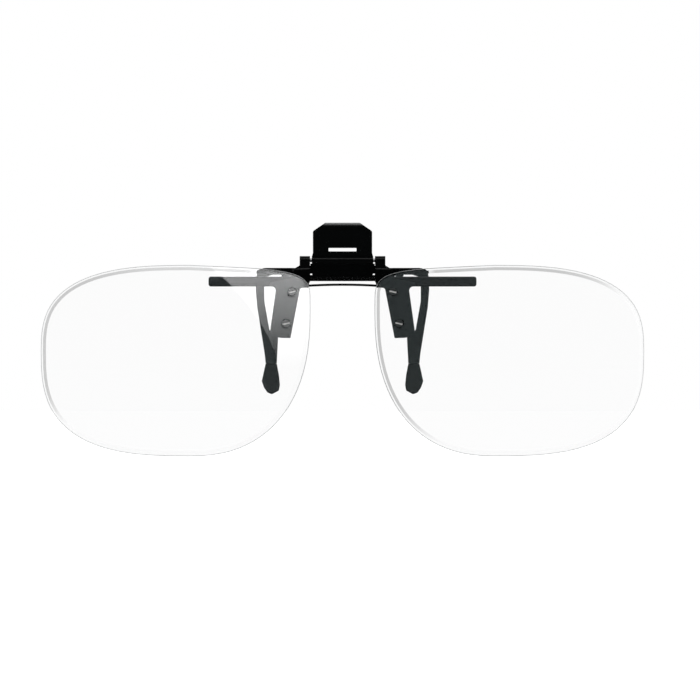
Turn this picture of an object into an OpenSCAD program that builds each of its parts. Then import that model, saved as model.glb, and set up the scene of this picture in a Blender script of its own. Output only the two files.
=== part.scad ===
// Flip-up clip-on glasses: two clear lenses screwed to brackets that turn on a
// pin across the front jaw, and a sprung rear jaw whose fingers hold the clip
// on a pair of spectacles. X runs across the face, Y from the front to the
// wearer, Z up. The origin is where the host lens meets the arm sleeves, on
// the middle plane. Half outlines are [across, up, corner radius].

/* [Lenses] */
// Width of one lens
lens_w = 56; // [50:0.5:60]
// Height of one lens
lens_h = 39.6; // [36:0.2:42]
// Thickness of a lens
lens_t = 1.8; // [1.4:0.1:2.2]
// Radius of the lens's front curve
lens_r = 200; // [150:10:400]
// Turn of each lens towards the temple, in degrees
lens_wrap = 4; // [0:0.5:6]
// Narrowest space between the two lenses
lens_gap = 13.3; // [12.9:0.1:14.5]
// Height of the lenses' upper edge above the grip
lens_top_z = 3.5; // [2.8:0.1:4.2]
// Place of a lens's foremost point, front to back
lens_y = -5.54; // [-6.5:0.1:-5.3]

/* [Lens brackets] */
// Thickness of a bracket's sheet
bracket_t = 0.8; // [0.6:0.05:1]
// Inner edge of a bracket, from the middle plane
bracket_x = 6.74; // [6.6:0.02:6.9]
// Width of a bracket's knuckle
knuckle_w = 2.16; // [1.8:0.02:2.3]
// Outer diameter of the knuckles
knuckle_d = 1.76; // [1.6:0.02:1.8]
// Inner edge of a lug at its top, from the middle plane
lug_x = 8.82; // [8.7:0.02:8.96]
// Width of a bracket's lug below the arms
lug_top_w = 4.9; // [4.5:0.1:5.4]
// Width of a bracket's lug at its lower end
lug_low_w = 4.2; // [3.8:0.1:4.6]
// Slant of the lug's inner edge, away from the nose over its length
lug_slant = 2; // [1.6:0.1:2.2]
// Height of the upper end of the lug's inner edge
lug_top_z = -0.9; // [-1:0.05:-0.8]
// Height of the lower end of a bracket
lug_z = -11.4; // [-12.5:0.1:-10.8]
// Drop of the web from the flip pin down to the cupped lug
web_drop = 1.95; // [1.8:0.05:2.1]
// Clearance between a lens and its bracket
lens_seat = 0.05; // [0.03:0.01:0.1]

/* [Screws] */
// Diameter of a screw's shank
screw_d = 0.9; // [0.7:0.05:1]
// Diameter of a screw's head, sunk flush with the lens
screw_head_d = 1.5; // [1.3:0.05:1.6]
// Height of a screw's head
screw_head_h = 0.45; // [0.35:0.05:0.6]
// Width of the slot in a screw's head
screw_slot_w = 0.34; // [0.25:0.01:0.4]
// Turn of that slot, in degrees
screw_slot_turn = 13; // [0:1:45]
// Diameter of the nuts
nut_d = 2.1; // [1.9:0.05:2.3]
// Height of a nut
nut_h = 0.7; // [0.5:0.05:0.9]
// Wall of the plastic bushes round the screws' heads
bush_wall = 0.2; // [0.15:0.01:0.3]
// Distance of the screws from the lug's inner edge
screw_inset = 1.38; // [1.3:0.02:1.8]
// Height of the upper screws
screw_high_z = -2; // [-2.8:0.1:-1.9]
// Height of the lower screws
screw_low_z = -8.6; // [-9.5:0.1:-8]

/* [Front jaw] */
// Thickness of the front jaw's sheet
front_t = 0.8; // [0.6:0.05:0.9]
// Middle plane of the front jaw's sheet
front_y = -1.04; // [-1.2:0.02:-1]
// Width of the front tab
tab_w = 12.3; // [11:0.1:12.4]
// Width of the hinge barrel below the tab
barrel_w = 12.76; // [12.5:0.02:12.9]
// Width of the flat on top of the tab
tab_top_w = 7.2; // [6:0.1:9]
// Height of the tab's top
tab_z = 12.32; // [11:0.02:13]
// Height of the bevelled corners of the tab
tab_bevel = 1.75; // [1:0.05:2.5]
// Lean of each tab away from the other, in degrees
tab_lean = 8; // [7:0.5:11]
// Height of the lip along the top of the front tab
lip_h = 0.6; // [0.4:0.05:0.8]
// Turn of the lip towards the rear tab, in degrees
lip_turn = 30; // [20:1:40]
// Width of the slot in the tabs
slot_w = 5.8; // [4:0.1:7]
// Height of the slot
slot_h = 0.7; // [0.6:0.05:1.2]
// Height of the slot's middle
slot_z = 6.74; // [6.5:0.02:8]
// Reach of an arm with its sleeve, from the middle plane
arm_x = 27.8; // [24:0.2:32]
// Height of an arm's sheet inside its sleeve
arm_h = 1.24; // [1:0.05:1.4]
// Outer diameter of the arm sleeves
sleeve_d = 2.07; // [1.9:0.02:2.07]
// Rubber beyond the end of an arm
sleeve_end = 0.5; // [0.3:0.05:0.8]

/* [Flip hinge] */
// Height of the flip pin
flip_z = 4.55; // [4.5:0.05:4.8]
// Diameter of the flip pin
flip_pin_d = 0.8; // [0.6:0.05:0.9]

/* [Clamp hinge] */
// Place of the jaw pin, front to back
jaw_y = 0.75; // [0.7:0.05:1]
// Height of the jaw pin
jaw_z = 1.15; // [1.1:0.05:1.3]
// Diameter of the jaw pin
jaw_pin_d = 0.76; // [0.6:0.02:0.8]
// Height of the jaw pin's heads
pin_head_h = 0.25; // [0.2:0.05:0.3]
// Thickness of the ears on the jaw pin
ear_t = 0.7; // [0.6:0.05:0.75]

/* [Spring] */
// Wire of the spring
spring_wire = 0.4; // [0.3:0.02:0.44]
// Outer diameter of the coil
spring_d = 1.9; // [1.8:0.05:2]
// Full turns of the coil
spring_turns = 13; // [8:1:13]

/* [Rear jaw] */
// Thickness of the rear jaw's sheet
rear_t = 0.7; // [0.6:0.05:0.8]
// Reach of a finger's outer corner, from the middle plane
finger_x = 17.7; // [16.5:0.1:19]
// Height of the upper edge of the bars
bar_z = 2.98; // [2.8:0.02:3.1]
// Height of the lower edge of the bars beside the fingers
bar_low_z = 1.51; // [1.4:0.01:1.7]
// Height of the rear jaw's lower edge between its ears
rear_low_z = 0.25; // [0.2:0.01:0.4]
// Width of a finger at its neck
neck_w = 2.3; // [2:0.05:2.6]
// Height of a finger's neck, where its pad starts
neck_z = -16.9; // [-18:0.1:-16]
// Gap between the closed fingers and the arm sleeves
jaw_gap = 0.3; // [0.25:0.05:0.5]

/* [Finger pads] */
// Greatest width of a pad
pad_w = 3.6; // [3.2:0.1:4]
// Length of a pad
pad_l = 6.4; // [5.5:0.1:7]
// Thickness of a pad, front to back
pad_t = 1.6; // [1.5:0.05:2]

/* [Bow] */
// Wire of the bow between the brackets
bow_wire_d = 0.48; // [0.3:0.02:0.5]
// Height of the bow's middle
bow_z = -0.54; // [-0.6:0.02:-0.4]
// Drop of the bow from its middle to the brackets
bow_drop = 0.26; // [0.2:0.02:0.5]

/* [Fits] */
// Radial clearance of a pin that turns
run_fit = 0.05; // [0.03:0.01:0.08]
// Clearance of a pin, bush or screw that stays put
set_fit = 0.02; // [0.01:0.005:0.03]

/* [Hidden] */
round_fn = 64;
$fn = round_fn;
black = "#141616";
rubber = "#1d1f20";
steel = "#3a3d3f";
clear = [0.86, 0.9, 0.92, 0.45];

// Planes of the sheets, front to back
front_rear_y = front_y + front_t / 2;
front_front_y = front_y - front_t / 2;
rear_sheet_y = jaw_y + 1.35;
finger_y = jaw_gap;

// Spheres of the lens, about the middle of its front curve
lens_x = lens_gap / 2 + lens_w / 2;
curve_x = lens_x - lens_r * sin(lens_wrap);
curve_y = lens_y + lens_r * cos(lens_wrap);
lens_z = lens_top_z - lens_h / 2;
function lens_front_y(x, z) =
    curve_y - sqrt(pow(lens_r, 2) - pow(x - curve_x, 2) - pow(z - lens_z, 2));

// Screws stand beside the slanted inner edge of the lug
lug_in_top = lug_x;
lug_in_low = lug_in_top + lug_slant;
lug_out_top = lug_in_top + lug_top_w;
lug_out_low = lug_in_low + lug_low_w;
function lug_in_x(z) =
    lug_in_top + (lug_in_low - lug_in_top) * (z - lug_top_z) / (lug_z - lug_top_z);
screw_high = [lug_in_x(screw_high_z) + screw_inset, screw_high_z];
screw_low = [lug_in_x(screw_low_z) + screw_inset, screw_low_z];

// Front of the lug behind the lens, and the places where web and bow meet it
function lug_front_y(x, z) = lens_front_y(x, z) + lens_t + lens_seat;
web_low_z = flip_z - web_drop - bracket_t / 2;
web_low_y = lug_front_y(bracket_x + knuckle_w / 2, web_low_z);
bow_y = lug_front_y(bracket_x + knuckle_w / 3, lug_top_z) + bracket_t;

function unit(v) = v / norm(v);

// The arc that rounds corner b between a and c
function corner(a, b, c, r, steps) =
    let (u = unit(a - b), v = unit(c - b), half = acos(u * v) / 2)
    r == 0 || half > 89.9 ? [b] :
    let (middle = b + unit(u + v) * r / sin(half),
        p = b + u * r / tan(half) - middle,
        q = b + v * r / tan(half) - middle,
        start = atan2(p.y, p.x),
        turn = atan2(p.x * q.y - p.y * q.x, p * q))
    [for (i = [0:steps]) middle + r * [cos(start + turn * i / steps), sin(start + turn * i / steps)]];

function flat(p) = [p.x, p.y];

// A closed outline with each corner rounded by its own radius
function rounded(pts, steps = 6) =
    let (n = len(pts))
    [for (i = [0:n - 1])
        each corner(flat(pts[(i + n - 1) % n]), flat(pts[i]), flat(pts[(i + 1) % n]),
            pts[i].z, steps)];

// A half outline joined with its mirror image
function both_sides(half) =
    concat(half, [for (i = [len(half) - 1:-1:0]) [-half[i].x, half[i].y, half[i].z]]);

// An open line with its bends rounded
function bent(pts, steps = 6) =
    let (n = len(pts))
    [for (i = [0:n - 1])
        each i == 0 || i == n - 1 ? [flat(pts[i])] :
            corner(flat(pts[i - 1]), flat(pts[i]), flat(pts[i + 1]), pts[i].z, steps)];

// The outline of a sheet of thickness t whose middle follows a line
function sheet(line, t) =
    let (n = len(line),
        sides = [for (i = [0:n - 1])
            let (a = unit(line[max(i, 1)] - line[max(i, 1) - 1]),
                b = unit(line[min(i, n - 2) + 1] - line[min(i, n - 2)]),
                m = [-a.y - b.y, a.x + b.x])
            m / (m * m) * t])
    concat([for (i = [0:n - 1]) line[i] + sides[i]],
        [for (i = [n - 1:-1:0]) line[i] - sides[i]]);

// Extrudes a shape drawn across and up, between two depths
module from_front(y0, y1) {
    translate([0, y1, 0]) rotate([90, 0, 0]) linear_extrude(y1 - y0) children();
}

// Extrudes a shape drawn in depth and up, between two places across
module from_side(x0, x1) {
    translate([x0, 0, 0]) rotate([90, 0, 90]) linear_extrude(x1 - x0) children();
}

// A rod across the face
module rod(d, x0, x1, y, z) {
    translate([x0, y, z]) rotate([0, 90, 0]) cylinder(d = d, h = x1 - x0);
}

module both() {
    children();
    mirror([1, 0, 0]) children();
}

module on_side(side) {
    mirror([side < 0 ? 1 : 0, 0, 0]) children();
}

// A place on the lens's front face, with local Z pointing out of it
module on_lens(x, z) {
    tilt = asin((z - lens_z) / lens_r);
    turn = asin((x - curve_x) / (lens_r * cos(tilt)));
    translate([curve_x, curve_y, lens_z]) rotate([0, 0, turn]) rotate([90 - tilt, 0, 0])
        translate([0, 0, lens_r]) children();
}

// The layer between two depths behind the lens's front curve
module lens_layer(from, to) {
    translate([curve_x, curve_y, lens_z]) difference() {
        sphere(r = lens_r - from, $fn = 300);
        sphere(r = lens_r - to, $fn = 300);
    }
}

module screw_holes(d) {
    for (at = [screw_high, screw_low])
        on_lens(at.x, at.y) translate([0, 0, -lens_r / 20]) cylinder(d = d, h = lens_r / 10);
}

// Lens outline: one curve for each quarter, between its widest points
lens_up = lens_h / 2;
brow_x = -0.054 * lens_w;
temple_z = 0.05 * lens_h;
nose_z = 0.253 * lens_h;
brow_fall = 0.045;
brow_drop = brow_fall * (lens_w / 2 + brow_x);
function quarter(middle, reach, power, from, fall = 0, steps = 22) =
    [for (i = [0:steps - 1]) let (a = from + 90 * i / steps,
        across = reach.x * sign(cos(a)) * pow(abs(cos(a)), 2 / power))
        [middle.x + across,
        middle.y + fall * across + reach.y * sign(sin(a)) * pow(abs(sin(a)), 2 / power)]];
lens_outline = concat(
    quarter([brow_x, temple_z], [lens_w / 2 - brow_x, lens_up - temple_z], 2.8, 0),
    quarter([brow_x, nose_z + brow_drop], [lens_w / 2 + brow_x, lens_up - nose_z - brow_drop],
        5.5, 90, brow_fall),
    quarter([brow_x, nose_z], [lens_w / 2 + brow_x, lens_up + nose_z], 2.35, 180),
    quarter([brow_x, temple_z], [lens_w / 2 - brow_x, lens_up + temple_z], 2.85, 270));

bush_d = screw_head_d + 2 * set_fit + 2 * bush_wall;
module lens(side) {
    color(clear) on_side(side) difference() {
        intersection() {
            translate([lens_x, 0, lens_z]) from_front(lens_y - 2, lens_y + lens_t + 6)
                polygon(lens_outline);
            lens_layer(0, lens_t);
        }
        screw_holes(bush_d + 2 * set_fit);
    }
}

// Lens bracket: knuckle, bent web and the lug that is cupped behind the lens
lug_outline = [
    [bracket_x, flip_z, 0],
    [bracket_x + knuckle_w, flip_z, 0],
    [bracket_x + knuckle_w, flip_z - 1.1, 0.3],
    [bracket_x + 3.1, 2.9, 0.6],
    [bracket_x + 3.55, 1.9, 0.6],
    [bracket_x + 3.9, 0.7, 0.5],
    [bracket_x + 6.2, 0.3, 1],
    [lug_out_top + 1.4, -0.2, 0.4],
    [lug_out_top + 1.4, lug_top_z - 0.05, 0.1],
    [lug_out_top, lug_top_z - 0.05, 0.9],
    [lug_out_low, lug_z + 1.1, 0],
    [lug_out_low + 0.05, lug_z + 0.28, 0.3],
    [(lug_in_low + lug_out_low) / 2, lug_z - 0.2, 1.2],
    [lug_in_low, lug_z - 0.26, 0.25],
    [lug_in_top, lug_top_z - 0.4, 0.5],
    [bracket_x + 0.4, lug_top_z - 0.25, 0.15],
    [bracket_x + 0.1, 0.2, 0.3]];

// Side view of the bracket's sheet, from the knuckle down
web_y = front_y - knuckle_d / 2 + bracket_t / 2 + 0.08;
web_line = [
    [web_y, flip_z, 0],
    [web_y, flip_z - 0.35, 0.7],
    [web_low_y + bracket_t / 2, web_low_z + 0.4, 0.8],
    [web_low_y + bracket_t / 2, web_low_z, 0]];

module bracket(side) {
    color(black) on_side(side) difference() {
        union() {
            rod(knuckle_d, bracket_x, bracket_x + knuckle_w, front_y, flip_z);
            intersection() {
                from_front(lens_y, front_y) polygon(rounded(lug_outline));
                from_side(0, arm_x) polygon(sheet(bent(web_line), bracket_t));
            }
            intersection() {
                from_front(lens_y, front_y) polygon(rounded(lug_outline));
                lens_layer(lens_t + lens_seat, lens_t + lens_seat + bracket_t);
                translate([0, lens_y, web_low_z - lens_h]) cube([lens_w, -lens_y, lens_h]);
            }
        }
        rod(flip_pin_d + 2 * run_fit, bracket_x - 1, bracket_x + knuckle_w + 1, front_y, flip_z);
        screw_holes(screw_d + 2 * set_fit);
        bow(bow_wire_d + 2 * set_fit);
    }
}

// Bow: an arched wire soldered into the brackets' feet
bow_reach = bracket_x + 1.2;
bow_arch = (pow(bow_reach, 2) + pow(bow_drop, 2)) / (2 * bow_drop);
bow_half_turn = asin(bow_reach / bow_arch);

module bow(d) {
    translate([0, bow_y, bow_z - bow_arch]) rotate([90, 0, 0])
        rotate([0, 0, 90 - bow_half_turn]) rotate_extrude(angle = 2 * bow_half_turn, $fn = 360)
            translate([bow_arch, 0]) circle(d = d, $fn = 24);
}

module bow_wire() {
    color(black) bow(bow_wire_d);
}

// Screw: flush slotted head, and a shank through bush, bracket and nut
nut_z = -lens_t - lens_seat - bracket_t - set_fit;
module screw(side, at) {
    slot_deep = screw_head_h * 0.5;
    color(steel) on_side(side) on_lens(at.x, at.y) difference() {
        rotate_extrude() {
            translate([0, -screw_head_h]) square([screw_head_d / 2, screw_head_h]);
            translate([0, nut_z - nut_h]) square([screw_d / 2, nut_h - nut_z]);
        }
        rotate([0, 0, -screw_slot_turn]) translate([-screw_head_d, -screw_slot_w / 2, -slot_deep])
            cube([2 * screw_head_d, screw_slot_w, 2 * slot_deep]);
    }
}

module bush(side, at) {
    color("#c9cccd") on_side(side) on_lens(at.x, at.y) difference() {
        translate([0, 0, -lens_t]) cylinder(d = bush_d, h = lens_t);
        translate([0, 0, -screw_head_h - set_fit])
            cylinder(d = screw_head_d + 2 * set_fit, h = 2 * screw_head_h);
        translate([0, 0, -2 * lens_t]) cylinder(d = screw_d + 2 * set_fit, h = 2 * lens_t);
    }
}

module nut(side, at) {
    rim = nut_h * 0.45;
    color(steel) on_side(side) on_lens(at.x, at.y) translate([0, 0, nut_z - nut_h]) difference() {
        rotate_extrude() polygon(rounded([
            [0, 0, 0],
            [nut_d / 2, 0, rim],
            [nut_d / 2, nut_h, 0.05],
            [0, nut_h, 0]]));
        translate([0, 0, -1]) cylinder(d = screw_d + 2 * set_fit, h = nut_h + 2);
    }
}

// Front jaw: tab, barrel, shoulders, ears and arms from one sheet
arm_z = 0.07;
arm_end_x = arm_x - sleeve_end;
sleeve_x = bracket_x + 2.7;
ear_d = 2.2;
rear_ear_d = 2;
rear_ear_x = bracket_x;
front_ear_x = rear_ear_x + ear_t + 0.1;
shoulder_z = flip_z - flip_pin_d / 2 - 0.3;
front_outline = both_sides([
    [tab_top_w / 2, tab_z, 0.4],
    [tab_w / 2, tab_z - tab_bevel, 0.5],
    [tab_w / 2, flip_z + 1.5, 0.6],
    [barrel_w / 2, flip_z + 0.7, 0.3],
    [barrel_w / 2, shoulder_z, 0],
    [bracket_x - run_fit, shoulder_z, 0.05],
    [bracket_x - run_fit, flip_z - 1.14, 0.1],
    [bracket_x + 1.8, flip_z - 1.4, 1],
    [bracket_x + 3.45, 2.07, 0.3],
    [sleeve_x - 0.15, 1.1, 0.2],
    [sleeve_x - 0.15, arm_z + arm_h / 2, 0.1],
    [arm_end_x, arm_z + arm_h / 2, 0.4],
    [arm_end_x, arm_z - arm_h / 2, 0.4],
    [sleeve_x - 0.15, arm_z - arm_h / 2, 0.1],
    [bracket_x + 1.9, -0.95, 0.3],
    [bracket_x + 0.35, -0.62, 0.15],
    [bracket_x, 0.2, 0.3],
    [bracket_x, jaw_z + 0.62, 0.15],
    [bracket_x - 0.45, jaw_z + 0.62, 0.15],
    [bracket_x - 0.45, jaw_z, 0.1]]);
lip_y = front_y - (tab_z - lip_h - flip_z - 0.9) * tan(tab_lean);
front_line = [
    [front_y, jaw_z - 3, 0],
    [front_y, flip_z + 0.9, 2],
    [lip_y, tab_z - lip_h, 0.6],
    [lip_y + (lip_h + 0.6) * tan(lip_turn - tab_lean), tab_z + 0.6, 0]];

module slot_prism(w, h) {
    from_front(-20, 20) polygon(rounded([
        [-w / 2, slot_z - h / 2, 0.14],
        [w / 2, slot_z - h / 2, 0.14],
        [w / 2, slot_z + h / 2, 0.1],
        [-w / 2, slot_z + h / 2, 0.1]]));
}

module front_jaw() {
    color(black) difference() {
        union() {
            intersection() {
                from_front(-10, 5) polygon(rounded(front_outline));
                from_side(-arm_x, arm_x) polygon(sheet(bent(front_line), front_t));
            }
            rod(knuckle_d, -barrel_w / 2, barrel_w / 2, front_y, flip_z);
            both() {
                rod(ear_d, front_ear_x, front_ear_x + ear_t, jaw_y, jaw_z);
                translate([front_ear_x, front_y, jaw_z - ear_d / 2])
                    cube([ear_t, jaw_y - front_y, ear_d]);
            }
        }
        rod(flip_pin_d + 2 * set_fit, -tab_w, tab_w, front_y, flip_z);
        rod(jaw_pin_d + 2 * set_fit, -tab_w, tab_w, jaw_y, jaw_z);
        slot_prism(slot_w, slot_h);
    }
}

module arm_sleeve(side) {
    rim = 0.5;
    color(rubber) on_side(side) difference() {
        translate([sleeve_x, front_y, arm_z]) rotate([0, 90, 0]) rotate_extrude() {
            square([sleeve_d / 2, arm_x - sleeve_x - rim]);
            square([sleeve_d / 2 - rim, arm_x - sleeve_x]);
            intersection() {
                translate([sleeve_d / 2 - rim, arm_x - sleeve_x - rim]) circle(r = rim);
                translate([0, arm_x - sleeve_x - rim]) square([sleeve_d / 2, rim]);
            }
        }
        translate([sleeve_x - 1, front_front_y - set_fit, arm_z - arm_h / 2 - set_fit])
            cube([arm_end_x - sleeve_x + 1 + set_fit, front_t + 2 * set_fit, arm_h + 2 * set_fit]);
    }
}

module flip_pin() {
    color(steel) rod(flip_pin_d, -bracket_x - knuckle_w, bracket_x + knuckle_w, front_y, flip_z);
}

module jaw_pin() {
    ear_end = front_ear_x + ear_t + set_fit;
    color(steel) {
        rod(jaw_pin_d, -ear_end - 0.1, ear_end + 0.1, jaw_y, jaw_z);
        both() rod(jaw_pin_d + 0.5, ear_end, ear_end + pin_head_h, jaw_y, jaw_z);
    }
}

// Spring: one wire wound on the jaw pin, with a leg up behind each tab
coil_r = (spring_d - spring_wire) / 2;
coil_half = bracket_x - 0.64;
coil_steps = 8;
coil_count = (spring_turns + 0.5) * coil_steps;
wire_path = concat(
    [[-coil_half, front_rear_y + spring_wire / 2 + 0.05, jaw_z + 2.2],
    [-coil_half, front_rear_y + spring_wire / 2 + 0.1, jaw_z + 1.8]],
    [for (i = [0:coil_count]) let (a = 180 + 360 * i / coil_steps)
        [-coil_half + 2 * coil_half * i / coil_count, jaw_y + coil_r * cos(a),
        jaw_z + coil_r * sin(a)]],
    [[coil_half, rear_sheet_y + 0.05 - spring_wire / 2, jaw_z + 3.2],
    [coil_half, rear_sheet_y + 0.1 - spring_wire / 2, jaw_z + 3.7]]);

// One ring of the wire, square to it
wire_sides = 6;
function ring_at(i) =
    let (n = len(wire_path),
        along = unit(wire_path[min(i + 1, n - 1)] - wire_path[max(i - 1, 0)]),
        u = unit(cross(along, [1, 0, 0])),
        v = cross(along, u))
    [for (k = [0:wire_sides - 1]) let (a = 360 * k / wire_sides)
        wire_path[i] + spring_wire / 2 * (u * cos(a) + v * sin(a))];

// Least space between one turn of the wire and the rest
turn_gap = min([for (i = [0:coil_count - coil_steps], j = [i + coil_steps / 2:i + coil_steps])
    norm(wire_path[i + 2] - wire_path[j + 2])]) - spring_wire;
echo("Least gap between turns of the spring", turn_gap);

module jaw_spring() {
    n = len(wire_path);
    w = wire_sides;
    color(steel) polyhedron(
        points = [for (i = [0:n - 1]) each ring_at(i)],
        faces = concat(
            [[for (k = [w - 1:-1:0]) k]],
            [for (i = [0:n - 2], k = [0:w - 1])
                [i * w + k, i * w + (k + 1) % w, (i + 1) * w + (k + 1) % w]],
            [for (i = [0:n - 2], k = [0:w - 1])
                [i * w + k, (i + 1) * w + (k + 1) % w, (i + 1) * w + k]],
            [[for (k = [0:w - 1]) (n - 1) * w + k]]),
        convexity = 10);
}

// Rear jaw: tab, ears, joggled bars and two curved fingers from one sheet
neck_x = finger_x - 2.85;
tongue_w = neck_w - 0.5;
tongue_z = neck_z - pad_l + 1.5;
joggle_x = bracket_x + 2.3;
rear_half = [
    [tab_top_w / 2 - 0.3, tab_z - 0.3, 0.4],
    [tab_w / 2 - 0.3, tab_z - tab_bevel - 0.2, 0.5],
    [tab_w / 2 - 0.2, bar_z, 0.4],
    [finger_x + 0.1, bar_z, 1.9],
    [finger_x + 0.35, -1.6, 2],
    [finger_x + 0.05, -5.2, 8],
    [neck_x + neck_w / 2 + 0.2, neck_z + 2, 6],
    [neck_x + neck_w / 2, neck_z, 0],
    [neck_x + tongue_w / 2, neck_z, 0],
    [neck_x + tongue_w / 2, tongue_z, 0.8],
    [neck_x - tongue_w / 2, tongue_z, 0.8],
    [neck_x - tongue_w / 2, neck_z, 0],
    [neck_x - neck_w / 2, neck_z, 0],
    [neck_x - neck_w / 2 - 0.3, lug_z + 0.2, 1],
    [finger_x - 2.5, lug_z + 1.35, 0.8],
    [finger_x - 1.42, -4, 6],
    [finger_x - 1.4, bar_low_z - 0.56, 0.2],
    [finger_x - 3.2, bar_low_z, 0.4],
    [finger_x - 4.95, bar_low_z, 0.15],
    [finger_x - 5.1, jaw_z - 0.25, 0.2],
    [bracket_x + 0.3, jaw_z - 0.25, 0.2],
    [bracket_x + 0.1, rear_low_z, 0.1]];
rear_line = [
    [rear_sheet_y + rear_t / 2, jaw_z - 2, 0],
    [rear_sheet_y + rear_t / 2, bar_z + 0.3, 2],
    [rear_sheet_y + rear_t / 2 + (tab_z - bar_z) * tan(tab_lean), tab_z + 0.3, 0]];
bar_line = [
    [bracket_x, rear_sheet_y + rear_t / 2, 0],
    [joggle_x, rear_sheet_y + rear_t / 2, 0.5],
    [joggle_x + 1.9, finger_y + rear_t / 2, 0.8],
    [finger_x + 5, finger_y + rear_t / 2, 0]];

// Slit that frees each ear from the bar beside it
slit_w = 0.46;
slit_h = 0.72;
module rear_jaw() {
    color(black) difference() {
        union() {
            intersection() {
                from_front(-5, 10) polygon(rounded(both_sides(rear_half)));
                union() {
                    from_side(-joggle_x + 0.3, joggle_x - 0.3)
                        polygon(sheet(bent(rear_line), rear_t));
                    both() translate([0, 0, tongue_z - 5]) linear_extrude(bar_z - tongue_z + 5.1)
                        polygon(sheet(bent(bar_line), rear_t));
                }
            }
            both() {
                rod(rear_ear_d, rear_ear_x, rear_ear_x + ear_t, jaw_y, jaw_z);
                translate([rear_ear_x, jaw_y, jaw_z - rear_ear_d / 2])
                    cube([ear_t, rear_sheet_y + rear_t - jaw_y, rear_ear_d]);
            }
        }
        rod(jaw_pin_d + 2 * run_fit, -tab_w, tab_w, jaw_y, jaw_z);
        both() translate([bracket_x - slit_w, 0, jaw_z]) cube([slit_w, finger_y + 10, slit_h]);
        slot_prism(slot_w + 0.3, slot_h + 0.7);
    }
}

// Finger pad: a moulded bulb over the tongue of a finger
pad_front_y = finger_y - (pad_t - rear_t) / 2;
module finger_pad(side) {
    top = neck_z - set_fit;
    low = neck_z - pad_l;
    outline = [
        [neck_x - neck_w / 2, top, 0.2],
        [neck_x + neck_w / 2, top, 0.2],
        [neck_x + pad_w * 0.54, low + pad_l * 0.43, 0.4],
        [neck_x + pad_w * 0.42, low + pad_l * 0.23, 1],
        [neck_x + pad_w * 0.22, low + pad_l * 0.06, 0.8],
        [neck_x - pad_w * 0.04, low, 0.5],
        [neck_x - pad_w * 0.44, low + pad_l * 0.12, 0.3],
        [neck_x - pad_w * 0.5, low + pad_l * 0.3, 1.5],
        [neck_x - pad_w * 0.45, low + pad_l * 0.6, 3]];
    profile = [
        [pad_front_y, top, 0.3],
        [pad_front_y, low, 0.9],
        [pad_front_y + pad_t, low, 0.6],
        [pad_front_y + pad_t, top, 0.5]];
    color(rubber) on_side(side) difference() {
        intersection() {
            from_front(pad_front_y - 1, pad_front_y + pad_t + 1) polygon(rounded(outline));
            from_side(0, arm_x) polygon(rounded(profile));
        }
        from_front(finger_y - set_fit, finger_y + rear_t + set_fit) polygon(rounded([
            [neck_x - tongue_w / 2 - set_fit, neck_z + 1, 0],
            [neck_x + tongue_w / 2 + set_fit, neck_z + 1, 0],
            [neck_x + tongue_w / 2 + set_fit, tongue_z - set_fit, 0.8],
            [neck_x - tongue_w / 2 - set_fit, tongue_z - set_fit, 0.8]]));
    }
}

front_jaw();
arm_sleeve(-1);  // left_arm_sleeve
arm_sleeve(1);  // right_arm_sleeve
flip_pin();
jaw_pin();
jaw_spring();
rear_jaw();
finger_pad(-1);  // left_finger_pad
finger_pad(1);  // right_finger_pad
bracket(-1);  // left_bracket
bracket(1);  // right_bracket
bow_wire();
lens(-1);  // left_lens
lens(1);  // right_lens
screw(-1, screw_high);  // left_upper_screw
screw(-1, screw_low);  // left_lower_screw
screw(1, screw_high);  // right_upper_screw
screw(1, screw_low);  // right_lower_screw
bush(-1, screw_high);  // left_upper_bush
bush(-1, screw_low);  // left_lower_bush
bush(1, screw_high);  // right_upper_bush
bush(1, screw_low);  // right_lower_bush
nut(-1, screw_high);  // left_upper_nut
nut(-1, screw_low);  // left_lower_nut
nut(1, screw_high);  // right_upper_nut
nut(1, screw_low);  // right_lower_nut
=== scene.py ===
import math

import bmesh
import bpy
from mathutils import Matrix, Vector


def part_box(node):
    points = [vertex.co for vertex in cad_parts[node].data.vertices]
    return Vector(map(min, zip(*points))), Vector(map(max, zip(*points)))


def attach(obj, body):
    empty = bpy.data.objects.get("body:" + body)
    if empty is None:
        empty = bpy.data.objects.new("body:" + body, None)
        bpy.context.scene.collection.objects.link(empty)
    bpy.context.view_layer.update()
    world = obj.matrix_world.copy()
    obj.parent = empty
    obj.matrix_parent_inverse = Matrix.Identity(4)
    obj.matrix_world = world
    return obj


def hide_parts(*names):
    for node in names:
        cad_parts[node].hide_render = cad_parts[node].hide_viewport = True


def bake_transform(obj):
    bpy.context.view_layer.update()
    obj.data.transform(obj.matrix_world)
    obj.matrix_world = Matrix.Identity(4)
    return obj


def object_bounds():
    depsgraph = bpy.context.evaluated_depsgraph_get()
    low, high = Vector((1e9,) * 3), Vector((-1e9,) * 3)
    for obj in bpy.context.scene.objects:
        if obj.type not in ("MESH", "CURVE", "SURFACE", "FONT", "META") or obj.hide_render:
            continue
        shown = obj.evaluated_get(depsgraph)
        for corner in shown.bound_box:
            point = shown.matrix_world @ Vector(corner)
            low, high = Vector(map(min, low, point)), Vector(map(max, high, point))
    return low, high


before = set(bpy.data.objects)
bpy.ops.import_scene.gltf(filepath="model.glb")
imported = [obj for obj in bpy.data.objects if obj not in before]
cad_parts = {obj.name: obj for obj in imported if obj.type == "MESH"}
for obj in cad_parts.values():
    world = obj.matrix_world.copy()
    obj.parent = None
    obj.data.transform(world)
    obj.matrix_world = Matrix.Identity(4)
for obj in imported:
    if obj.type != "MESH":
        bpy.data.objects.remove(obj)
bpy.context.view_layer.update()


# Front jaw: one piece of 0.8 mm steel sheet, blanked with a slot in its squeeze tab,
# rolled into the barrel of the flip hinge and folded into two ears and two arms.
# It is barrelled, so its blanked edges are eased, and then stoved in black enamel.
MM = 0.001
weld = 0.002 * MM
flat_turn = math.radians(0.6)
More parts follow.
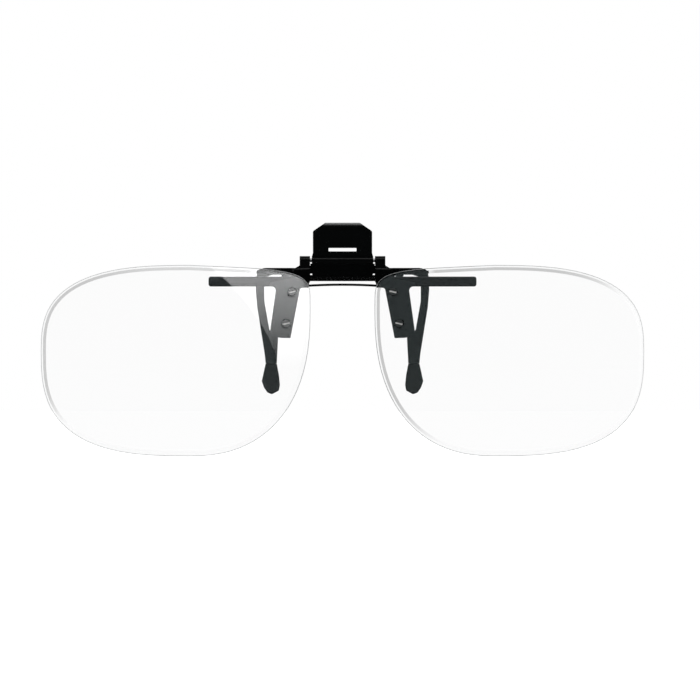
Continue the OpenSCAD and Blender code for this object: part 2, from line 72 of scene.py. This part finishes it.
bevel_turn = math.radians(28)
crease_turn = math.radians(40)


class Signal:
    """One output of a shader node. Sums of signals add the Math nodes they need."""

    def __init__(self, finish, socket):
        self.finish, self.socket = finish, socket

    def sum(self, operation, *terms):
        return self.finish.node("ShaderNodeMath", {"operation": operation}, dict(enumerate(terms)))

    def __add__(self, other):
        return self.sum("ADD", self, other)

    def __sub__(self, other):
        return self.sum("SUBTRACT", self, other)

    def __rsub__(self, other):
        return self.sum("SUBTRACT", other, self)

    def __mul__(self, other):
        return self.sum("MULTIPLY", self, other)

    def __pow__(self, other):
        return self.sum("POWER", self, other)

    __radd__ = __add__
    __rmul__ = __mul__


class Finish:
    """The node tree of a material, the world or a lamp, empty at first."""

    def __init__(self, owner):
        owner.use_nodes = True
        self.owner, self.tree = owner, owner.node_tree
        self.tree.nodes.clear()

    def node(self, kind, settings=None, sockets=None, out=0):
        """Adds any node: its settings first, then the values and links of its sockets."""
        made = self.tree.nodes.new(kind)
        for name, value in (settings or {}).items():
            if name == "stops":
                stops = made.color_ramp.elements
                while len(stops) < len(value):
                    stops.new(0.5)
                for stop, (place, colour) in zip(stops, value):
                    stop.position, stop.color = place, colour
            else:
                setattr(made, name, value)
        for name, value in (sockets or {}).items():
            if isinstance(value, Signal):
                self.tree.links.new(value.socket, made.inputs[name])
            else:
                made.inputs[name].default_value = value
        return Signal(self, made.outputs[out]) if made.outputs else None

    def in_mm(self, stretch=(1, 1, 1)):
        """Object coordinates in millimetres, stretched along an axis where wanted."""
        place = self.node("ShaderNodeTexCoord", out="Object")
        scale = [1 / MM / s for s in stretch]
        return self.node("ShaderNodeMapping", sockets={"Vector": place, "Scale": scale})

    def noise(self, place, size, detail=2.0):
        """Noise with features of a size in millimetres."""
        return self.node("ShaderNodeTexNoise", sockets={
            "Vector": place, "Scale": 1 / size, "Detail": detail})

    def along(self, vector, axis):
        """One coordinate of a vector."""
        return self.node("ShaderNodeSeparateXYZ", sockets={"Vector": vector}, out=axis)

    def ramp(self, value, start, end, low=0.0, high=1.0, kind="LINEAR"):
        """Goes from low to high as a value goes from start to end."""
        return self.node("ShaderNodeMapRange", {"interpolation_type": kind}, {
            "Value": value, "From Min": start, "From Max": end, "To Min": low, "To Max": high})

    def mix(self, factor, colour_a, colour_b):
        """A colour between two, by a factor."""
        return self.node("ShaderNodeMix", {"data_type": "RGBA"}, {
            0: factor, 6: (*colour_a, 1), 7: (*colour_b, 1)}, out=2)

    def relief(self, height, depth):
        """A Bump node: depth in millimetres."""
        return self.node("ShaderNodeBump", sockets={"Height": height, "Distance": depth * MM})

    def surface(self, **sockets):
        """Ends a material in one Principled shader."""
        sockets = {name.replace("_", " "): value for name, value in sockets.items()}
        shader = self.node("ShaderNodeBsdfPrincipled", sockets=sockets)
        self.node("ShaderNodeOutputMaterial", sockets={"Surface": shader})
        return self.owner


def solid(node):
    """The merged shape of a CAD node, with its flat faces whole again."""
    shape = bmesh.new()
    shape.from_mesh(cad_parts[node].data)
    bmesh.ops.remove_doubles(shape, verts=shape.verts, dist=weld)
    bmesh.ops.dissolve_limit(shape, angle_limit=flat_turn, verts=shape.verts, edges=shape.edges)
    return shape


def finished(shape, name, material, body, slot, *nodes):
    """Makes a shape a smooth-shaded piece that rides on a body, if any, for its nodes.
    Its sharp edges stay sharp."""
    for face in shape.faces:
        face.smooth = True
    for edge in shape.edges:
        if edge.calc_face_angle(0) > crease_turn:
            edge.smooth = False
    mesh = bpy.data.meshes.new(name)
    shape.to_mesh(mesh)
    shape.free()
    mesh.materials.append(material)
    piece = bpy.data.objects.new(name, mesh)
    bpy.context.scene.collection.objects.link(piece)
    if body:
        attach(piece, body)
    if nodes:
        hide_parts(*nodes)
    return piece


def eased(node, ease, name, material, body, slot, segments=2):
    """A copy of a CAD node with its sharp edges rounded, and those edges marked."""
    shape = solid(node)
    edge = shape.faces.layers.float.new("edge")
    sharp = [e for e in shape.edges if e.is_manifold and e.calc_face_angle(0) > bevel_turn]
    rounded = bmesh.ops.bevel(shape, geom=sharp, offset=ease * MM, offset_type="OFFSET",
                              affect="EDGES", segments=segments, profile=0.5, material=-1,
                              clamp_overlap=True)
    for face in rounded["faces"]:
        face[edge] = 1.0
    piece = finished(shape, name, material, body, slot, node)
    even = piece.modifiers.new("even_shading", "WEIGHTED_NORMAL")
    even.keep_sharp = True
    return piece


enamel = Finish(bpy.data.materials.new("black_enamel"))
spot = enamel.in_mm()
peel = enamel.noise(spot, 0.35)
scuff = enamel.noise(spot, 0.09, detail=4)
edge = enamel.node("ShaderNodeAttribute", {"attribute_name": "edge"}, out="Fac")
# The eased edges are lighter in a scuffed pattern: partly worn thin enamel, partly a painted
# highlight along the edges
edge_wear_and_highlight = edge * scuff ** 2
# The tabs' lips are painted lighter towards their tops, in a scuffed band: a painted highlight
# where light catches them
painted_lip_highlight = 11.5, 12.2
lip = enamel.ramp(enamel.along(spot, "Z") + 0.1 * scuff, *painted_lip_highlight)
black_enamel = enamel.surface(
    Base_Color=enamel.node("ShaderNodeValToRGB", {"stops": (
        (0, (0.0022, 0.0028, 0.0029, 1)), (0.12, (0.05, 0.052, 0.052, 1)),
        (1, (0.5, 0.51, 0.51, 1)))}, {"Fac": 0.12 * edge_wear_and_highlight + lip ** 3}),
    Roughness=0.14 + 0.1 * peel + 0.06 * scuff,
    Specular_IOR_Level=0.25,
    Normal=enamel.relief(peel, 0.006))

eased("front_jaw", 0.09, "front_jaw_sheet", black_enamel, "front", "black_paint")


# Arm sleeves: black rubber tube pushed over the two arms, so that they don't mark
# the spectacles. Each is closed at its end and keeps the fine grain of its mould.
rubber = Finish(bpy.data.materials.new("black_rubber"))
spot = rubber.in_mm()
grain = rubber.noise(spot, 0.06, detail=3)
bloom = rubber.noise(spot, 2.5, detail=3)
black_rubber = rubber.surface(
    Base_Color=rubber.mix(bloom, (0.0018, 0.0023, 0.0023), (0.003, 0.0037, 0.0037)),
    Roughness=0.42 + 0.2 * grain,
    Specular_IOR_Level=0.15,
    Normal=rubber.relief(grain, 0.008))

for side in ("left", "right"):
    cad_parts[f"{side}_arm_sleeve"].material_slots[0].material = black_rubber


# Hinge pins: drawn steel wire. The flip pin is left bright and staked in the front
# jaw's barrel. The jaw pin is blackened, and its ends are headed over at the ears.
def drawn_steel(name, dark, light):
    wire = Finish(bpy.data.materials.new(name))
    drawn = wire.noise(wire.in_mm(stretch=(12, 1, 1)), 0.05, detail=3)
    return wire.surface(
        Base_Color=wire.mix(drawn, dark, light),
        Metallic=1.0,
        Roughness=0.25 + 0.2 * drawn,
        Normal=wire.relief(drawn, 0.003))


bright_wire = drawn_steel("bright_wire", (0.55, 0.56, 0.57), (0.7, 0.71, 0.72))
blackened_wire = drawn_steel("blackened_wire", (0.03, 0.032, 0.034), (0.07, 0.073, 0.075))
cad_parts["flip_pin"].material_slots[0].material = bright_wire
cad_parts["jaw_pin"].material_slots[0].material = blackened_wire


# Clamp spring: 0.4 mm music wire, coiled on the jaw pin in thirteen and a half open
# turns. Its left leg bears on the front tab and its longer right leg on the rear tab.
wire_d = 0.4
coil_r = 0.75
coil_y, coil_z = 0.75, 1.15
coil_half = 6.1
turns = 13.5
steps_a_turn = 32
ring_sides = 12
# Each leg's points from the end of the coil, back and up
front_leg = ((-0.03, 0.55), (-0.17, 1.15), (-0.34, 1.8), (-0.39, 2.2))
rear_leg = ((0.04, 0.8), (0.15, 1.7), (0.34, 2.6), (0.45, 3.2), (0.5, 3.7))

coil = bmesh.new()
bmesh.ops.create_circle(coil, cap_ends=False, segments=ring_sides, radius=wire_d / 2 * MM)
bmesh.ops.translate(coil, verts=coil.verts,
                    vec=Vector((-coil_half, coil_y - coil_r, coil_z)) * MM)
first_ring = list(coil.edges)
steps = round(turns * steps_a_turn)
wound = bmesh.ops.spin(
    coil, geom=list(coil.verts) + list(coil.edges), cent=Vector((-coil_half, coil_y, coil_z)) * MM,
    axis=(1, 0, 0), dvec=(2 * coil_half / steps * MM, 0, 0),
    angle=turns * 2 * math.pi, steps=steps, use_merge=False)
last_ring = [e for e in wound["geom_last"] if isinstance(e, bmesh.types.BMEdge)]
for ring, leg in ((first_ring, front_leg), (last_ring, rear_leg)):
    reached = (0.0, 0.0)
    for there in leg:
        grown = bmesh.ops.extrude_edge_only(coil, edges=ring)["geom"]
        bmesh.ops.translate(
            coil, verts=[v for v in grown if isinstance(v, bmesh.types.BMVert)],
            vec=Vector((0, there[0] - reached[0], there[1] - reached[1])) * MM)
        ring = [e for e in grown if isinstance(e, bmesh.types.BMEdge)]
        reached = there
    bmesh.ops.holes_fill(coil, edges=ring, sides=0)
bmesh.ops.recalc_face_normals(coil, faces=coil.faces)
spring = finished(coil, "jaw_spring_coil", blackened_wire, None, "dark_steel", "jaw_spring")
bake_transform(spring)


# Rear jaw: 0.7 mm steel sheet with a tab and ears like the front jaw's. Its bars are
# joggled forward and run out in two curved fingers, and it is enamelled the same.
eased("rear_jaw", 0.08, "rear_jaw_sheet", black_enamel, "rear", "black_paint")


# Finger pads: soft black rubber moulded round the tongues at the fingers' ends, a bulb
# in front view and flat front and back, with its mould's edges rounded over.
for side in ("left", "right"):
    eased(f"{side}_finger_pad", 0.3, f"{side}_pad_bulb", black_rubber, "rear",
          "black_rubber", segments=4)


# Lens brackets and bow: each bracket is 0.8 mm sheet with a knuckle on the flip pin,
# a bent web and a lug cupped behind its lens. A 0.48 mm wire is soldered between the
# brackets' feet before all three are enamelled together.
for side in ("left", "right"):
    eased(f"{side}_bracket", 0.08, f"{side}_bracket_sheet", black_enamel, "lenses",
          "black_paint")
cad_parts["bow_wire"].material_slots[0].material = black_enamel


# Lenses: clear, 1.8 mm thick and curved to a radius of 200 mm. Each is edged on a wheel,
# which leaves a matt edge with a narrow bevel in front and a wider one behind that dies
# out over the bracket. It is drilled for its two bushed screws.
lens_r = 200 * MM
lens_t = 1.8 * MM
lens_wrap = math.radians(4)
lens_face_y = -5.54 * MM
front_bevel = 0.12 * MM
land = 0.36 * MM
back_bevel = 0.62 * MM
back_bevel_deep = 0.28 * MM
over_bar = 17.2 * MM
fading = 1.5 * MM
cut = 3 * MM
hole_near = 2 * MM
hole_play = 0.02 * MM
outline_turn = math.radians(0.3)
rim_turn = math.radians(12)
lens_ior = 1.5
on_face = 1e-6
polished, ground, matt = range(3)

glass = Finish(bpy.data.materials.new("clear_lens"))
wipe = glass.noise(glass.in_mm(stretch=(3, 1, 1)), 4, detail=4)
clear_lens = glass.surface(
    Base_Color=(1.0, 0.997, 0.997, 1),
    Roughness=0.012 * wipe ** 4,
    IOR=lens_ior,
    Transmission_Weight=1.0)


def edged_glass(name, dark, light, rough, rougher, clearness):
    """Lens glass with the fine marks of the wheel that edged it."""
    rim = Finish(bpy.data.materials.new(name))
    wheel = rim.noise(rim.in_mm(stretch=(1, 1, 0.4)), 0.12, detail=3)
    return rim.surface(
        Base_Color=rim.mix(wheel, dark, light),
        Roughness=rough + rougher * wheel,
        IOR=lens_ior,
        Transmission_Weight=clearness,
        Normal=rim.relief(wheel, 0.002))


ground_rim = edged_glass("ground_rim", (0.95, 0.96, 0.96), (1.0, 1.0, 1.0), 0.06, 0.1, 1.0)
ground_edge = edged_glass("ground_edge", (0.62, 0.64, 0.64), (0.74, 0.76, 0.76), 0.3, 0.2, 0.4)

for side, way in (("left", -1), ("right", 1)):
    low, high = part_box(f"{side}_lens")
    middle = (low + high) / 2
    curve = Vector((middle.x - way * lens_r * math.sin(lens_wrap),
                    lens_face_y + lens_r * math.cos(lens_wrap), middle.z))

    # The outline of the CAD lens's front edge, laid flat and filled
    blank = bmesh.new()
    blank.from_mesh(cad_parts[f"{side}_lens"].data)
    bmesh.ops.remove_doubles(blank, verts=blank.verts, dist=weld)
    holes = []
    for row in ("upper", "lower"):
        bush_low, bush_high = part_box(f"{side}_{row}_bush")
        holes.append(((bush_low + bush_high) / 2, (bush_high.x - bush_low.x) / 2))
    bmesh.ops.delete(blank, context="FACES", geom=[
        f for f in blank.faces if abs(f.normal.y) > 0.5 or min(
            (f.calc_center_median() - at).xz.length for at, reach in holes) < hole_near])
    bmesh.ops.delete(blank, context="VERTS", geom=[
        v for v in blank.verts if (v.co - curve).length < lens_r - lens_t / 2])
    bmesh.ops.scale(blank, verts=blank.verts, vec=(1, 0, 1))
    bmesh.ops.contextual_create(blank, geom=blank.edges[:])
    bmesh.ops.dissolve_limit(blank, angle_limit=outline_turn, verts=blank.verts,
                             edges=blank.edges)

    # Rings for the front bevel, the land and the back bevel, then the face inside them
    # round the two holes
    out = blank.verts.layers.float.new("out")
    face = blank.faces[:]
    for v in blank.verts:
        v[out] = 2
    for inset, share in ((front_bevel, 1), (land, 1), (back_bevel, 0)):
        bmesh.ops.inset_region(blank, faces=face, thickness=inset, use_boundary=True,
                               use_even_offset=True)
        for v in face[0].verts:
            v[out] = share
    inside = list(face[0].edges)
    bmesh.ops.delete(blank, geom=face, context="FACES_ONLY")
    for at, reach in holes:
        bored = bmesh.ops.create_circle(
            blank, segments=32, radius=reach + hole_play,
            matrix=Matrix.Translation((at.x, 0, at.z)) @ Matrix.Rotation(math.pi / 2, 4, "X"))
        inside += {e for v in bored["verts"] for e in v.link_edges}
    bmesh.ops.triangle_fill(blank, use_beauty=True, edges=inside)
    for axis in (0, 2):
        for step in range(1, round((high - low)[axis] / cut)):
            square = Vector(int(n == axis) for n in range(3))
            bmesh.ops.bisect_plane(
                blank, geom=blank.verts[:] + blank.edges[:] + blank.faces[:],
                plane_co=low + square * step * cut, plane_no=square)

    # Thickness, and both faces laid on their spheres
    front = set(blank.verts)
    bmesh.ops.extrude_face_region(blank, geom=blank.faces[:])
    for v in blank.verts:
        r = lens_r if v in front else lens_r - lens_t
        v.co.y = curve.y - math.sqrt(r ** 2 - (v.co - curve).xz.length_squared)
        clear = max(abs(v.co.x) - over_bar, -v.co.z, 0) / fading
        if v in front:
            v.co.y += front_bevel * max(v[out] - 1, 0)
        else:
            v.co.y -= back_bevel_deep * min(v[out], 1) * min(clear, 1)
    bmesh.ops.recalc_face_normals(blank, faces=blank.faces)
    for edge in blank.edges:
        edge.smooth = edge.calc_face_angle(0) < rim_turn

    # The wall and the front bevel are matt, the back bevel and holes ground, the rest polished
    for face in blank.faces:
        depths = [lens_r - (v.co - curve).length for v in face.verts]
        off_front = max(map(abs, depths)) > on_face
        off_back = max(abs(depth - lens_t) for depth in depths) > on_face
        if max(v[out] for v in face.verts) > 1 and min(depths) < lens_t / 2:
            face.material_index = matt
        else:
            face.material_index = ground if off_front and off_back else polished
    piece = finished(blank, f"{side}_lens_glass", clear_lens, "lenses", "clear_lens",
                     f"{side}_lens")
    piece.data.materials.append(ground_rim)
    piece.data.materials.append(ground_edge)

    # The polished faces are shaded as the spheres that they follow
    shading = []
    for face in piece.data.polygons:
        for corner in face.vertices:
            normal = (piece.data.vertices[corner].co - curve).normalized()
            normal *= -1 if face.normal.y > 0 else 1
            shading.append((0, 0, 0) if face.material_index else normal)
    piece.data.normals_split_custom_set(shading)


# Fastenings: each screw is blackened steel with a flush head, its slot worn bright by
# the driver. It sits in a clear plastic bush in the lens and holds a domed nut behind
# the bracket.
bare_depth = 0.1 * MM

plastic = Finish(bpy.data.materials.new("clear_plastic"))
haze = plastic.noise(plastic.in_mm(), 0.25, detail=3)
clear_plastic = plastic.surface(
    Base_Color=(0.93, 0.95, 0.95, 1),
    Roughness=0.04 + 0.1 * haze,
    IOR=1.49,
    Transmission_Weight=1.0)

oxide = Finish(bpy.data.materials.new("blackened_screw"))
speck = oxide.noise(oxide.in_mm(), 0.1, detail=3)
blackened_screw = oxide.surface(
    Base_Color=oxide.mix(speck, (0.034, 0.038, 0.038), (0.05, 0.055, 0.055)),
    Roughness=0.03 + 0.05 * speck,
    Specular_IOR_Level=1.0,
    Normal=oxide.relief(speck, 0.001))

bare = Finish(bpy.data.materials.new("worn_slot"))
scratch = bare.noise(bare.in_mm(stretch=(4, 1, 1)), 0.08, detail=3)
worn_slot = bare.surface(
    Base_Color=bare.mix(scratch, (0.6, 0.6, 0.59), (0.85, 0.85, 0.84)),
    Metallic=0.3,
    Roughness=0.35 + 0.2 * scratch,
    Normal=bare.relief(scratch, 0.004))

for side in ("left", "right"):
    for row in ("upper", "lower"):
        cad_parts[f"{side}_{row}_bush"].material_slots[0].material = clear_plastic
        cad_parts[f"{side}_{row}_nut"].material_slots[0].material = blackened_screw
        shape = solid(f"{side}_{row}_screw")
        head = min(v.co.y for v in shape.verts)
        # The floor of the slot lies below the head and faces forward
        for face in shape.faces:
            at = face.calc_center_median()
            face.material_index = int(face.normal.y < -0.9 and at.y > head + bare_depth)
        screw = finished(shape, f"{side}_{row}_slotted_screw", blackened_screw, "lenses",
                         "dark_steel", f"{side}_{row}_screw")
        screw.data.materials.append(worn_slot)


# The studio: a white floor in a room that is white behind the glasses and dark in front,
# where only what mirrors inside a lens meets a grey wall. A lens is clear from any side,
# but light that its bevel bends a little to the right or down meets a grey card.
floor_half = 0.8
floor_white = 0.9
floor_dark = 0.02
floor_glow = 0.85
floor_gloss = 0.05
clear_white = 1.03
card_white = 1.05
card_grey = 0.62
card_way = 1.3, -0.8
card_from = -0.02, 0.205
card_off_axis = 0.09, 0.15
card_end = 0.33, 0.4
card_depth = 0.1, 0.2
room_dark = 0.01
room_depth = -0.4, 0.7
wall_grey = 0.55
wall_tint = (0.84, 1.0, 1.02)
wall_depth = -0.85, -0.7


def soft_step(finish, value, ends, low=0.0, high=1.0):
    """Goes smoothly from low to high as a value passes from one end to the other."""
    return finish.ramp(value, *ends, low, high, "SMOOTHSTEP")


def surroundings(finish, ray):
    """The room along a ray: how bright for a mirrored ray, how bright through a lens, and
    in what colour."""
    across, back, up = (finish.along(ray, axis) for axis in "XYZ")
    behind = soft_step(finish, back, room_depth, room_dark, 1.0)
    mirrors = finish.node("ShaderNodeLightPath", out="Glossy Depth")
    wall = soft_step(finish, mirrors, (0.0, 1.0)) * soft_step(finish, back, wall_depth, 1.0, 0.0)
    bend = (across * across + up * up) ** 0.5
    way = card_way[0] * across + card_way[1] * up
    card = soft_step(finish, way, card_from, card_white, card_grey)
    beside = soft_step(finish, bend, card_off_axis)
    far = soft_step(finish, bend, card_end)
    ahead = soft_step(finish, back, card_depth) * (1 - far)
    seen = (1 - beside) * clear_white + beside * card
    elsewhere = 1 - wall * (1 - wall_grey)
    tint = finish.mix(wall, (1, 1, 1), wall_tint)
    return behind, seen * ahead + elsewhere * (1 - ahead), tint


room = Finish(bpy.data.worlds.new("white_room"))
bpy.context.scene.world = room.owner
direct = room.node("ShaderNodeLightPath", out="Is Camera Ray")
through = room.node("ShaderNodeLightPath", out="Is Transmission Ray")
plain, bent, tint = surroundings(room, room.node("ShaderNodeTexCoord", out="Generated"))
room.node("ShaderNodeOutputWorld", sockets={
    "Surface": room.node("ShaderNodeBackground", sockets={
        "Color": tint,
        "Strength": direct + through * bent + (1 - direct - through) * plain})})

ground_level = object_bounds()[0].z
boards = bmesh.new()
bmesh.ops.create_grid(boards, x_segments=1, y_segments=1, size=floor_half)
bmesh.ops.translate(boards, verts=boards.verts, vec=(0, 0, ground_level))
floor_mesh = bpy.data.meshes.new("floor")
boards.to_mesh(floor_mesh)
boards.free()
floor = bpy.data.objects.new("floor", floor_mesh)
bpy.context.scene.collection.objects.link(floor)
paper = Finish(bpy.data.materials.new("white_paper"))
direct = paper.node("ShaderNodeLightPath", out="Is Camera Ray")
through = paper.node("ShaderNodeLightPath", out="Is Transmission Ray")
mirrored = paper.node("ShaderNodeLightPath", out="Is Glossy Ray") * (1 - through)
onward = paper.node("ShaderNodeVectorMath", {"operation": "SCALE"}, {
    "Vector": paper.node("ShaderNodeNewGeometry", out="Incoming"), "Scale": -1.0})
plain, bent, tint = surroundings(paper, onward)
floor_mesh.materials.append(paper.surface(
    Base_Color=paper.mix(through + mirrored, (floor_white,) * 3, (floor_dark,) * 3),
    Roughness=0.9,
    Specular_IOR_Level=0.0,
    Emission_Color=tint,
    Emission_Strength=direct * floor_glow + mirrored * floor_gloss + through * bent))
paper.owner.cycles.emission_sampling = "NONE"


def lamp(name, place, width, height, radiance, aim=(0, 0, 0), receivers=None):
    """A soft rectangular lamp of an even radiance that the camera doesn't see."""
    data = bpy.data.lights.new(name, "AREA")
    data.shape, data.size, data.size_y = "RECTANGLE", width, height
    data.energy = radiance * math.pi * width * height
    made = bpy.data.objects.new(name, data)
    bpy.context.scene.collection.objects.link(made)
    facing = (Vector(aim) - Vector(place)).to_track_quat("-Z", "Y").to_matrix().to_4x4()
    made.matrix_world = Matrix.Translation(place) @ facing
    made.visible_camera = False
    if receivers:
        made.light_linking.receiver_collection = receivers
    return made


def only(name, *names):
    """A collection of pieces that a lamp lights."""
    made = bpy.data.collections.new(name)
    for piece in names:
        made.objects.link(bpy.data.objects[piece])
    return made


def screws(*sides):
    return [f"{side}_{row}_slotted_screw" for side in sides for row in ("upper", "lower")]


def lens_pieces(side):
    return [f"{side}_lens_glass"] + screws(side) + [
        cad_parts[f"{side}_{row}_bush"].name for row in ("upper", "lower")]


left_lens = only("left_lens", *lens_pieces("left"))
all_screws = only("all_screws", *screws("left", "right"))
lamp("lamp_above", place=(0.05, -0.45, 0.43), width=0.6, height=0.1, radiance=3.0)
lamp("lamp_right", place=(0.6, -0.1, 0.1), width=0.25, height=0.5, radiance=1.5)
lamp("slot_lamp", place=(-0.1, -0.5, 0.4), width=0.2, height=0.2, radiance=20,
     receivers=all_screws)

# Only the left lens mirrors this lamp, which fades downwards and has a round flag before it
glare_rise = -0.03, 0.2
glare_peak = 3.23
flag_centre = (-0.4177, -1.0, -0.1759)
flag_edge = 0.488, 0.492
glare = lamp("left_glare", place=(0.05, -1.0, 0.19), width=0.42, height=0.5, radiance=1.0,
             aim=(0.05, 0, 0.19), receivers=left_lens)
falling = Finish(glare.data)
spot = falling.node("ShaderNodeNewGeometry", out="Position")
strength = falling.ramp(falling.along(spot, "Z"), *glare_rise, 0.0, glare_peak)
from_flag = falling.node("ShaderNodeVectorMath", {"operation": "DISTANCE"}, {
    0: spot, 1: flag_centre}, out="Value")
falling.node("ShaderNodeOutputLight", sockets={
    "Surface": falling.node("ShaderNodeEmission", sockets={
        "Strength": strength * soft_step(falling, from_flag, flag_edge)})})

view_centre = Vector((1.556, -3.0, -14.1)) * MM
view_width = 145.2 * MM
camera_distance = 1.1
camera = bpy.data.objects.new("camera", bpy.data.cameras.new("camera"))
camera.data.lens = camera.data.sensor_width * camera_distance / view_width
camera.location = view_centre - Vector((0, camera_distance, 0))
camera.rotation_euler = (math.radians(90), 0, 0)
bpy.context.scene.collection.objects.link(camera)
bpy.context.scene.camera = camera
bpy.context.scene.view_settings.view_transform = "Standard"
